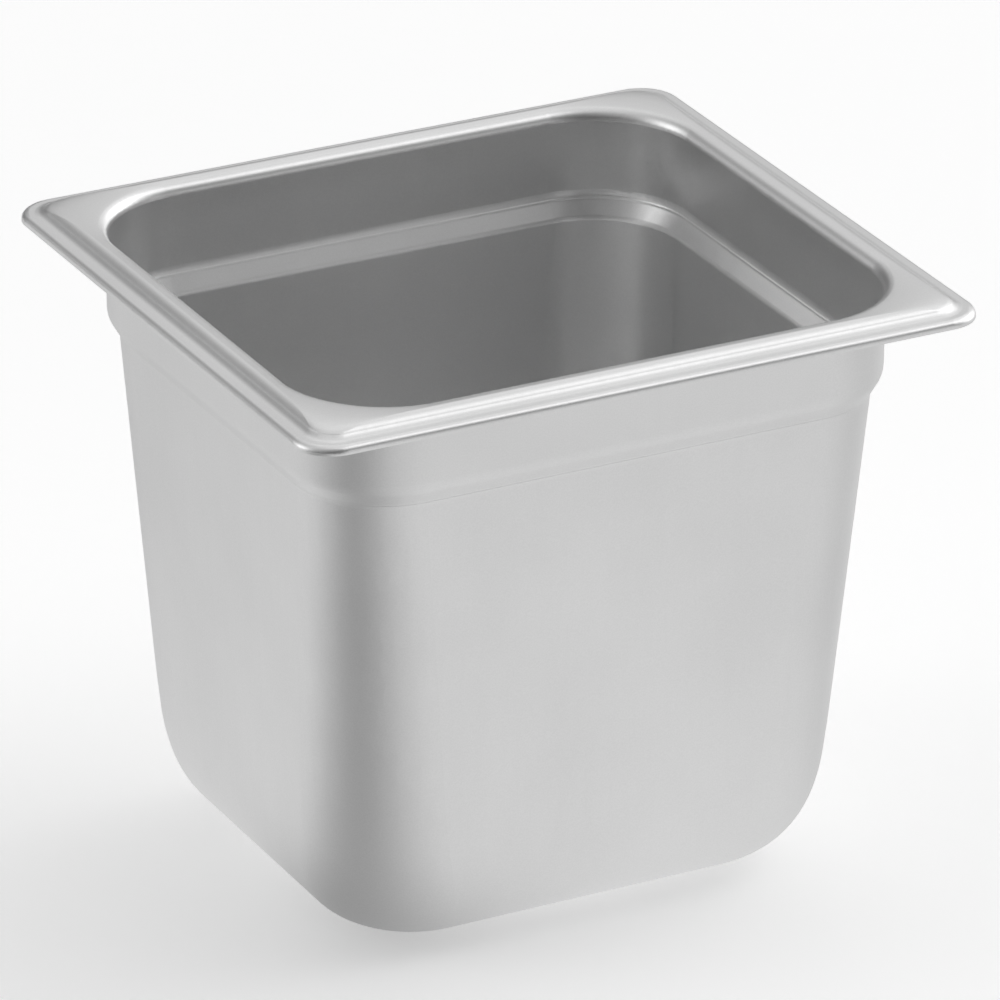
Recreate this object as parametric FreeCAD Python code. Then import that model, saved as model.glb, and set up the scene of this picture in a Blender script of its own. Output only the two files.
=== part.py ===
"""Food pan, sixth size, 6 in deep, with a stacking shoulder.

The pan is a single sheet of stainless steel, deep drawn to shape, so the model is one solid.
The frame has +Z up, +X along the long side of the rim, and its origin at the centre of the
underside of the floor.  All sizes are in millimetres.

The sheet's upper face is drawn as a profile with rounded bends, running from the lower edge of
the rim's lip, over the rim and down the inside to the floor.  Each point of the profile stands for
a rounded rectangle in plan, given by its inset from the rim's outer edge, its height and its plan
corner radius.  The lower face is the same profile moved out by the sheet's thickness.
"""
import FreeCAD
import Part
import math
import os

# Overall sizes
RIM_LENGTH = 176.0
RIM_WIDTH = 162.0
HEIGHT = 151.8              # underside of the floor to the unrounded outer edge of the land
SHEET = 0.6

# Rim: a turned-down lip, a flat flange, and a raised land round the well's mouth
RIM_CORNER = 9.6            # plan corner radius of the outer edge
LIP_DROP = 4.2              # below the top of the rim
LIP_BEND = 1.6
FLANGE_DROP = 2.25
RAMP_FOOT_INSET = 4.1       # where the flange turns up to the land
RAMP_FOOT_CORNER = 6.6
RAMP_FOOT_BEND = 2.8
RAMP_TOP_INSET = 6.2
RAMP_TOP_CORNER = 6.2
RAMP_TOP_BEND = 3.2
LAND_EASE = 0.5             # rounding between the land's flat corners and the edge of the well

# Mouth of the well and its collar
WELL_INSET = 11.55          # inner face of the collar
WELL_CORNER = 25.3
WELL_BEND = 2.7
WELL_DROP = 0.7             # where the line of the land meets the line of the collar
COLLAR_LEAN = 0.1           # inward lean of the collar over its height

# Stacking shoulder
SHOULDER_TOP_DROP = 22.3
SHOULDER_TOP_BEND = 5.0
SHOULDER_FOOT_DROP = 27.3
SHOULDER_FOOT_INSET = 14.7
SHOULDER_FOOT_CORNER = 21.6
SHOULDER_FOOT_BEND = 2.8

# Body: straight tapered walls whose corners open out faster near the floor
BODY_BREAK_RISE = 36.0      # height of that change above the floor
BODY_BREAK_CORNER = 24.7
BODY_BREAK_EASE = 5.0

# Floor: a wide, full bend from the walls to a flat
FLOOR_INSET = 22.05         # where the line of the wall meets the floor
FLOOR_CORNER = 28.8
FLOOR_BEND_REACH = 29.0     # length of the bend along the wall and along the floor
FLOOR_BEND_WEIGHT = 1.09    # a circular bend would weigh about 0.69; more is squarer
FLAT_CORNER = 3.0

ARC_WEIGHT = math.sqrt(0.5)     # weight of the middle pole of a quarter circle
NO_LENGTH = 1e-6                # a stretch shorter than this is left out


class Point:
    """A point of the profile: inset, height and plan corner radius."""

    def __init__(self, inset, height, corner):
        self.inset = inset
        self.height = height
        self.corner = corner

    def towards(self, other, distance):
        """The point at a distance along the line to another one, measured in the section."""
        length = math.hypot(other.inset - self.inset, other.height - self.height)
        part = distance / length
        return Point(self.inset + part * (other.inset - self.inset),
                     self.height + part * (other.height - self.height),
                     self.corner + part * (other.corner - self.corner))


class Bend(Point):
    """A sharp corner of the profile with its rounding: circular, or a conic of a given length."""

    def __init__(self, inset, height, corner, radius=0.0, length=0.0, weight=1.0):
        super().__init__(inset, height, corner)
        self.radius = radius
        self.length = length
        self.weight = weight


def upper_profile():
    """The sheet's upper face, from the lip's lower edge to the edge of the floor's flat."""
    land_inset = WELL_INSET - WELL_BEND - LAND_EASE
    land_fall = WELL_DROP * (land_inset - RAMP_TOP_INSET) / (WELL_INSET - RAMP_TOP_INSET)
    wall_slope = (FLOOR_INSET - SHOULDER_FOOT_INSET) / (HEIGHT - SHOULDER_FOOT_DROP - SHEET)
    break_inset = FLOOR_INSET - wall_slope * (BODY_BREAK_RISE - SHEET)
    return [
        Bend(0.0, HEIGHT - LIP_DROP, RIM_CORNER),
        Bend(0.0, HEIGHT - FLANGE_DROP, RIM_CORNER, radius=LIP_BEND),
        Bend(RAMP_FOOT_INSET, HEIGHT - FLANGE_DROP, RAMP_FOOT_CORNER, radius=RAMP_FOOT_BEND),
        Bend(RAMP_TOP_INSET, HEIGHT, RAMP_TOP_CORNER, radius=RAMP_TOP_BEND),
        Bend(land_inset, HEIGHT - land_fall, WELL_CORNER + WELL_INSET - land_inset,
             length=LAND_EASE),
        Bend(WELL_INSET, HEIGHT - WELL_DROP, WELL_CORNER, radius=WELL_BEND),
        Bend(WELL_INSET + COLLAR_LEAN, HEIGHT - SHOULDER_TOP_DROP, WELL_CORNER - COLLAR_LEAN,
             radius=SHOULDER_TOP_BEND),
        Bend(SHOULDER_FOOT_INSET, HEIGHT - SHOULDER_FOOT_DROP, SHOULDER_FOOT_CORNER,
             radius=SHOULDER_FOOT_BEND),
        Bend(break_inset, BODY_BREAK_RISE, BODY_BREAK_CORNER, length=BODY_BREAK_EASE),
        Bend(FLOOR_INSET, SHEET, FLOOR_CORNER, length=FLOOR_BEND_REACH, weight=FLOOR_BEND_WEIGHT),
        Bend(FLOOR_INSET + FLOOR_BEND_REACH, SHEET, FLAT_CORNER),
    ]


def outward_normal(start, end):
    """Unit normal of a stretch of the profile, pointing out of the sheet's lower face."""
    run = end.inset - start.inset
    fall = end.height - start.height
    length = math.hypot(run, fall)
    return fall / length, -run / length


def lower_profile(upper):
    """The sheet's lower face: the upper profile moved out by the thickness."""
    lower = []
    for index, bend in enumerate(upper):
        before = upper[max(index - 1, 0)]
        after = upper[min(index + 1, len(upper) - 1)]
        if index == 0:
            before_normal = after_normal = outward_normal(bend, after)
        elif index == len(upper) - 1:
            before_normal = after_normal = outward_normal(before, bend)
        else:
            before_normal = outward_normal(before, bend)
            after_normal = outward_normal(bend, after)
        cosine = before_normal[0] * after_normal[0] + before_normal[1] * after_normal[1]
        turn = before_normal[0] * after_normal[1] - before_normal[1] * after_normal[0]
        shift_inset = SHEET * (before_normal[0] + after_normal[0]) / (1 + cosine)
        shift_height = SHEET * (before_normal[1] + after_normal[1]) / (1 + cosine)
        radius = bend.radius
        if radius:
            radius += math.copysign(SHEET, turn)
        lower.append(Bend(bend.inset + shift_inset, bend.height + shift_height,
                          bend.corner - shift_inset, radius, bend.length, bend.weight))
    return lower


def stretches(profile):
    """Split a profile into straight stretches (two points) and bends (three points and a weight)."""
    pieces = []
    start = profile[0]
    for before, bend, after in zip(profile, profile[1:], profile[2:]):
        length = bend.length
        weight = bend.weight
        if bend.radius:
            into = outward_normal(before, bend)
            out = outward_normal(bend, after)
            angle = math.acos(into[0] * out[0] + into[1] * out[1])
            length = bend.radius * math.tan(angle / 2)
            weight = math.cos(angle / 2)
        bend_start = bend.towards(before, length)
        bend_end = bend.towards(after, length)
        pieces.append(([start, bend_start], [1.0, 1.0]))
        pieces.append(([bend_start, bend, bend_end], [1.0, weight, 1.0]))
        start = bend_end
    end = profile[-1]
    if math.hypot(end.inset - start.inset, end.height - start.height) > NO_LENGTH:
        pieces.append(([start, end], [1.0, 1.0]))
    return pieces


def corner_pole(point, quadrant, across, along):
    """A pole of the corner arc in one quadrant; across and along run from 0 to 1."""
    sign_x, sign_y = quadrant
    half_length = RIM_LENGTH / 2 - point.inset - point.corner
    half_width = RIM_WIDTH / 2 - point.inset - point.corner
    return FreeCAD.Vector(sign_x * (half_length + point.corner * across),
                          sign_y * (half_width + point.corner * along), point.height)


QUADRANTS = [(1, 1), (-1, 1), (-1, -1), (1, -1)]
ARC_POLES = [(1, 0), (1, 1), (0, 1)]


def ring(point):
    """The plan curve at a point, as eight lists of poles: an arc and a side for each corner."""
    arcs = []
    for index, quadrant in enumerate(QUADRANTS):
        poles = [corner_pole(point, quadrant, across, along) for across, along in ARC_POLES]
        if index % 2:
            poles.reverse()
        arcs.append(poles)
    curves = []
    for index, arc in enumerate(arcs):
        following = arcs[(index + 1) % len(arcs)]
        curves.append((arc, [1.0, ARC_WEIGHT, 1.0]))
        curves.append(([arc[-1], following[0]], [1.0, 1.0]))
    return curves


def patch(rows, row_weights, column_weights):
    """A rational Bezier patch over a grid of poles."""
    row_degree = len(rows) - 1
    column_degree = len(rows[0]) - 1
    weights = [[row * column for column in column_weights] for row in row_weights]
    surface = Part.BSplineSurface()
    surface.buildFromPolesMultsKnots(
        rows, [row_degree + 1] * 2, [column_degree + 1] * 2, [0.0, 1.0], [0.0, 1.0],
        False, False, row_degree, column_degree, weights)
    return surface.toShape()


def swept_faces(pieces):
    """The faces swept round the pan by the stretches of one profile."""
    faces = []
    for points, row_weights in pieces:
        rings = [ring(point) for point in points]
        for curves in zip(*rings):
            rows = [poles for poles, weights in curves]
            faces.append(patch(rows, row_weights, curves[0][1]))
    return faces


def ring_wire(point):
    """The plan curve at a point as a wire."""
    edges = []
    for poles, weights in ring(point):
        curve = Part.BSplineCurve()
        degree = len(poles) - 1
        curve.buildFromPolesMultsKnots(poles, [degree + 1] * 2, [0.0, 1.0], False, degree, weights)
        edges.append(curve.toShape())
    return Part.Wire(edges)


def build_pan():
    """The whole sheet as one closed solid."""
    upper = upper_profile()
    lower = lower_profile(upper)
    lip_edge = Part.makeFace([ring_wire(upper[0]), ring_wire(lower[0])], "Part::FaceMakerBullseye")
    floor_faces = [Part.Face(ring_wire(upper[-1])), Part.Face(ring_wire(lower[-1]))]
    faces = swept_faces(stretches(upper)) + swept_faces(stretches(lower)) + floor_faces
    solid = Part.Solid(Part.Shell(faces + [lip_edge]))
    if solid.Volume < 0:
        solid.reverse()
    return solid


os.makedirs("parts", exist_ok=True)
pan = build_pan()
print("valid", pan.isValid(), "closed", pan.isClosed(), "volume", round(pan.Volume), pan.BoundBox)
pan.exportStep("parts/pan.step")
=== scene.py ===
"""Studio view of the sixth-size stainless steel food pan.

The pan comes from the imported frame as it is.  This script gives it its steel, and makes the floor,
the lights and the camera.  Sizes are in metres, angles in degrees and the lens in millimetres.
Compass angles turn from +X towards +Y.
"""
import bpy
import math
from mathutils import Matrix, Vector


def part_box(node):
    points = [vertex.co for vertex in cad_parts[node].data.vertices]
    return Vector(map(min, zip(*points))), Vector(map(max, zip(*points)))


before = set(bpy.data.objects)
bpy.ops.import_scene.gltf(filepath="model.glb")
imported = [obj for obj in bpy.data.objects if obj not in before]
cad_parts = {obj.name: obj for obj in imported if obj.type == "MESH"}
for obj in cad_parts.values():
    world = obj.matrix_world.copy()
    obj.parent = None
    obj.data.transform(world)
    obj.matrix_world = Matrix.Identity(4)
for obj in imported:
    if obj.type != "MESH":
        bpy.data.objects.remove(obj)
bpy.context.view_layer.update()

PAN_LOW, PAN_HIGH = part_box("pan")
PAN_LENGTH = PAN_HIGH.x - PAN_LOW.x
PAN_HEIGHT = PAN_HIGH.z - PAN_LOW.z
MIDDLE = Vector((0.0, 0.0, PAN_LOW.z + PAN_HEIGHT / 2))

# Camera: a long lens that looks down on the pan over its near left corner
CAMERA_TURN = 242.28            # compass angle of the place where it stands
CAMERA_RISE = 24.59
CAMERA_ROLL = 0.42
CAMERA_DISTANCE = 12.04 * PAN_LENGTH
CAMERA_RIGHT = 0.0020           # slides to the right and up, which place the pan in the picture
CAMERA_UP = 0.0104
CAMERA_LENS = 320.15

# Steel: how light its two faces are, the inside one painted lighter to stand in for the light that
# fills the well, its roughness, and how far each of its marks goes
OUTSIDE_TONE = 0.79
INSIDE_PAINTED_LIGHT_TONE = 0.87
STEEL_ROUGHNESS = 0.36
STREAK_SPREAD = 0.02
CLOUD_SPREAD = 0.016
GRAIN_SPREAD = 0.015
STREAK_SCALE = 700.0
STREAK_STRETCH = 0.02           # along the height, so that the streaks run up the walls
CLOUD_SCALE = 22.0
GRAIN_SCALE = 2600.0
STREAK_DETAIL = 3.0
CLOUD_DETAIL = 3.0
GRAIN_DETAIL = 2.0
NOISE_LOW = 0.3
NOISE_HIGH = 0.7
FACING_EDGE = 0.3               # how soft the change is between the inside and the outside face
RIM_FOOT = PAN_LOW.z + 0.92 * PAN_HEIGHT    # above this the painted light of the inside fades to the outside tone

# Witness lines that the drawing tool left round the shoulder, on each face of the sheet
OUTSIDE_LINE = PAN_LOW.z + 0.824 * PAN_HEIGHT
INSIDE_LINE = PAN_LOW.z + 0.850 * PAN_HEIGHT
LINE_HALF_WIDTH = 0.0004
LINE_RISE = 25.0                # in steps of the bump's height
BUMP_STEP = 0.00001
BUMP_STRENGTH = 0.3

# Floor, and the card that reflections see in its place
FLOOR_SIZE = 6.0
FLOOR_TONE = 0.92
FLOOR_ROUGHNESS = 0.9
FLOOR_GLOW = 0.26
FLOOR_DROP = 0.0004            # a hair below the pan, so that no two faces share a plane
CARD_SIZE = 2.4
CARD_DROP = 0.0002

# Soft lights of the studio dome: compass angle, height, tightness and strength
DOME_GREY = 0.1
DOME_LIGHTS = {
    "right softbox": (5, 25, 10, 3.0),
    "right fill": (45, 25, 12, 0.35),
    "low right fill": (345, 8, 14, 0.3),
    "back softbox": (70, 40, 14, 0.7),
    "back left softbox": (155, 22, 14, 2.3),
    "low front fill": (298, 6, 30, 1.0),
    "front right strip": (325, 57, 26, 1.7),
    "overhead": (0, 90, 8, 0.35),
    "overhead left": (200, 52, 6, 0.3),
    "overhead back": (90, 70, 6, 0.5),
}

# What the steel sees of the table: pale grey, with dark flags as lights of negative strength
TABLE_GREY = 0.77
TABLE_NEAR_GLOW = 0.04          # extra light close to the pan, fading out by the far distance
TABLE_NEAR = 0.10
TABLE_FAR = 0.30
TABLE_FLAGS = {
    "front left flag": (212, 0, 7, -0.43),
    "right flag": (345, 0, 12, -0.12),
    "back shade": (90, 0, 3, -0.15),
}


def direction(turn, rise):
    """Unit vector at a compass angle from +X and a height above the horizon."""
    across = math.cos(math.radians(rise))
    return Vector((across * math.cos(math.radians(turn)), across * math.sin(math.radians(turn)),
                   math.sin(math.radians(rise))))


class Graph:
    """Shorthand for building a node tree: each call adds a node and returns its first output."""

    def __init__(self, owner):
        owner.use_nodes = True
        self.nodes = owner.node_tree.nodes
        self.links = owner.node_tree.links
        self.nodes.clear()

    def add(self, kind, **settings):
        made = self.nodes.new(kind)
        for name, value in settings.items():
            setattr(made, name, value)
        return made

    def feed(self, socket, value):
        if isinstance(value, bpy.types.NodeSocket):
            self.links.new(value, socket)
        else:
            socket.default_value = value

    def math(self, operation, *values):
        made = self.add("ShaderNodeMath", operation=operation)
        for socket, value in zip(made.inputs, values):
            self.feed(socket, value)
        return made.outputs[0]

    def vector(self, operation, *values):
        made = self.add("ShaderNodeVectorMath", operation=operation)
        for socket, value in zip(made.inputs, values):
            self.feed(socket, value)
        gives_number = operation in ("DOT_PRODUCT", "LENGTH")
        return made.outputs["Value" if gives_number else "Vector"]

    def noise(self, place, scale, detail):
        made = self.add("ShaderNodeTexNoise")
        self.feed(made.inputs["Vector"], place)
        made.inputs["Scale"].default_value = scale
        made.inputs["Detail"].default_value = detail
        return made.outputs["Fac"]

    def ramp(self, value, low, high, to_low, to_high):
        """A value carried smoothly from one range to another, and held at both ends."""
        made = self.add("ShaderNodeMapRange", interpolation_type="SMOOTHSTEP")
        for socket, number in zip(made.inputs, (value, low, high, to_low, to_high)):
            self.feed(socket, number)
        return made.outputs[0]

    def spread(self, noise, amount):
        """Noise brought to a range of plus or minus an amount."""
        return self.ramp(noise, NOISE_LOW, NOISE_HIGH, -amount, amount)


def add_soft_lights(graph, towards, total, lights):
    """Adds round soft patches of light, given by direction, to a running total."""
    for turn, rise, tightness, strength in lights.values():
        facing = graph.vector("DOT_PRODUCT", towards, direction(turn, rise))
        fall = graph.math("MULTIPLY", graph.math("SUBTRACT", facing, 1.0), tightness)
        total = graph.math("MULTIPLY_ADD", graph.math("EXPONENT", fall), strength, total)
    return total


def make_dome():
    """The studio round the pan, as a dim dome with soft lights on it."""
    world = bpy.data.worlds.new("studio")
    bpy.context.scene.world = world
    graph = Graph(world)
    towards = graph.add("ShaderNodeTexCoord").outputs["Generated"]
    total = add_soft_lights(graph, towards, DOME_GREY, DOME_LIGHTS)
    background = graph.add("ShaderNodeBackground")
    graph.feed(background.inputs["Strength"], total)
    graph.feed(graph.add("ShaderNodeOutputWorld").inputs["Surface"], background.outputs[0])


def make_square(name, size, lift):
    """A level square that belongs to the studio and not to the pan."""
    half = size / 2
    mesh = bpy.data.meshes.new(name)
    corners = [(-half, -half, lift), (half, -half, lift), (half, half, lift), (-half, half, lift)]
    mesh.from_pydata(corners, [], [(0, 1, 2, 3)])
    square = bpy.data.objects.new(name, mesh)
    bpy.context.scene.collection.objects.link(square)
    return square


def make_floor():
    """A plain white floor, glowing a little so that it stays as pale as a studio table."""
    floor = make_square("floor", FLOOR_SIZE, -FLOOR_DROP)
    material = bpy.data.materials.new("floor")
    material.use_nodes = True
    shader = material.node_tree.nodes["Principled BSDF"]
    shader.inputs["Base Color"].default_value = (FLOOR_TONE, FLOOR_TONE, FLOOR_TONE, 1.0)
    shader.inputs["Roughness"].default_value = FLOOR_ROUGHNESS
    shader.inputs["Emission Color"].default_value = (1.0, 1.0, 1.0, 1.0)
    shader.inputs["Emission Strength"].default_value = FLOOR_GLOW
    floor.data.materials.append(material)


def make_table_card():
    """A glowing card on the floor that only reflections see, so the steel has a table to mirror."""
    card = make_square("table_card", CARD_SIZE, -CARD_DROP)
    card.visible_camera = False
    card.visible_diffuse = False
    card.visible_shadow = False
    card.visible_transmission = False
    material = bpy.data.materials.new("table_card")
    graph = Graph(material)
    place = graph.add("ShaderNodeTexCoord").outputs["Object"]
    towards = graph.vector("NORMALIZE", graph.vector("MULTIPLY", place, (1.0, 1.0, 0.0)))
    distance = graph.vector("LENGTH", place)
    close = graph.ramp(distance, TABLE_NEAR, TABLE_FAR, TABLE_GREY + TABLE_NEAR_GLOW, TABLE_GREY)
    total = add_soft_lights(graph, towards, close, TABLE_FLAGS)
    glow = graph.add("ShaderNodeEmission")
    graph.feed(glow.inputs["Strength"], total)
    graph.feed(graph.add("ShaderNodeOutputMaterial").inputs["Surface"], glow.outputs[0])
    card.data.materials.append(material)


def make_steel():
    """Satin stainless steel with soft clouds, drawing streaks, a fine grain and witness lines, and
    painted light on its inside face.
    """
    material = bpy.data.materials.new("stainless")
    graph = Graph(material)
    place = graph.add("ShaderNodeTexCoord").outputs["Object"]
    stretched = graph.vector("MULTIPLY", place, (1.0, 1.0, STREAK_STRETCH))
    streaks = graph.noise(stretched, STREAK_SCALE, STREAK_DETAIL)
    clouds = graph.noise(place, CLOUD_SCALE, CLOUD_DETAIL)
    grain = graph.noise(place, GRAIN_SCALE, GRAIN_DETAIL)
    parts = graph.add("ShaderNodeSeparateXYZ")
    graph.feed(parts.inputs[0], place)
    height = parts.outputs["Z"]

    outward = graph.vector("NORMALIZE", graph.vector("MULTIPLY", place, (1.0, 1.0, 0.0)))
    normal = graph.add("ShaderNodeNewGeometry").outputs["Normal"]
    facing = graph.vector("DOT_PRODUCT", normal, outward)
    # Mask of the inside face below the rim: it places the painted light and sets the witness line's
    # height
    inside = graph.math("MULTIPLY", graph.ramp(facing, -FACING_EDGE, FACING_EDGE, 1.0, 0.0),
                        graph.ramp(height, RIM_FOOT, PAN_HIGH.z, 1.0, 0.0))

    mottle = graph.math("ADD", graph.spread(clouds, CLOUD_SPREAD), graph.spread(grain, GRAIN_SPREAD))
    # Painted light: the inside face is made lighter than the outside one, for the light that fills
    # the well; the steel is the same on both faces
    tone_with_painted_light = graph.math("MULTIPLY_ADD", inside, INSIDE_PAINTED_LIGHT_TONE - OUTSIDE_TONE, OUTSIDE_TONE)
    tone = graph.math("ADD", tone_with_painted_light, mottle)
    colour = graph.add("ShaderNodeCombineColor")
    for socket in colour.inputs:
        graph.feed(socket, tone)
    roughness = graph.math("ADD", graph.spread(streaks, STREAK_SPREAD), STEEL_ROUGHNESS)

    level = graph.math("MULTIPLY_ADD", inside, INSIDE_LINE - OUTSIDE_LINE, OUTSIDE_LINE)
    away = graph.math("ABSOLUTE", graph.math("SUBTRACT", height, level))
    line = graph.ramp(away, 0.0, LINE_HALF_WIDTH, LINE_RISE, 0.0)
    bump = graph.add("ShaderNodeBump")
    bump.inputs["Strength"].default_value = BUMP_STRENGTH
    bump.inputs["Distance"].default_value = BUMP_STEP
    graph.feed(bump.inputs["Height"], graph.math("ADD", grain, line))

    shader = graph.add("ShaderNodeBsdfPrincipled")
    shader.inputs["Metallic"].default_value = 1.0
    graph.feed(shader.inputs["Base Color"], colour.outputs[0])
    graph.feed(shader.inputs["Roughness"], roughness)
    graph.feed(shader.inputs["Normal"], bump.outputs[0])
    graph.feed(graph.add("ShaderNodeOutputMaterial").inputs["Surface"], shader.outputs[0])
    return material


def make_camera():
    """The camera, turned, raised and rolled to the viewing angle, at a distance from the pan."""
    back = direction(CAMERA_TURN, CAMERA_RISE)
    right = Vector((0.0, 0.0, 1.0)).cross(back).normalized()
    up = back.cross(right)
    roll = math.radians(CAMERA_ROLL)
    rolled_right = math.cos(roll) * right + math.sin(roll) * up
    rolled_up = back.cross(rolled_right)
    data = bpy.data.cameras.new("camera")
    data.lens = CAMERA_LENS
    camera = bpy.data.objects.new("camera", data)
    bpy.context.scene.collection.objects.link(camera)
    stand = MIDDLE + CAMERA_DISTANCE * back + CAMERA_RIGHT * right + CAMERA_UP * up
    turned = Matrix((rolled_right, rolled_up, back)).transposed().to_4x4()
    camera.matrix_world = Matrix.Translation(stand) @ turned
    bpy.context.scene.camera = camera


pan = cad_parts["pan"]
pan.material_slots[0].material = make_steel()
make_floor()
make_table_card()
make_dome()
make_camera()
bpy.context.scene.view_settings.view_transform = "Standard"
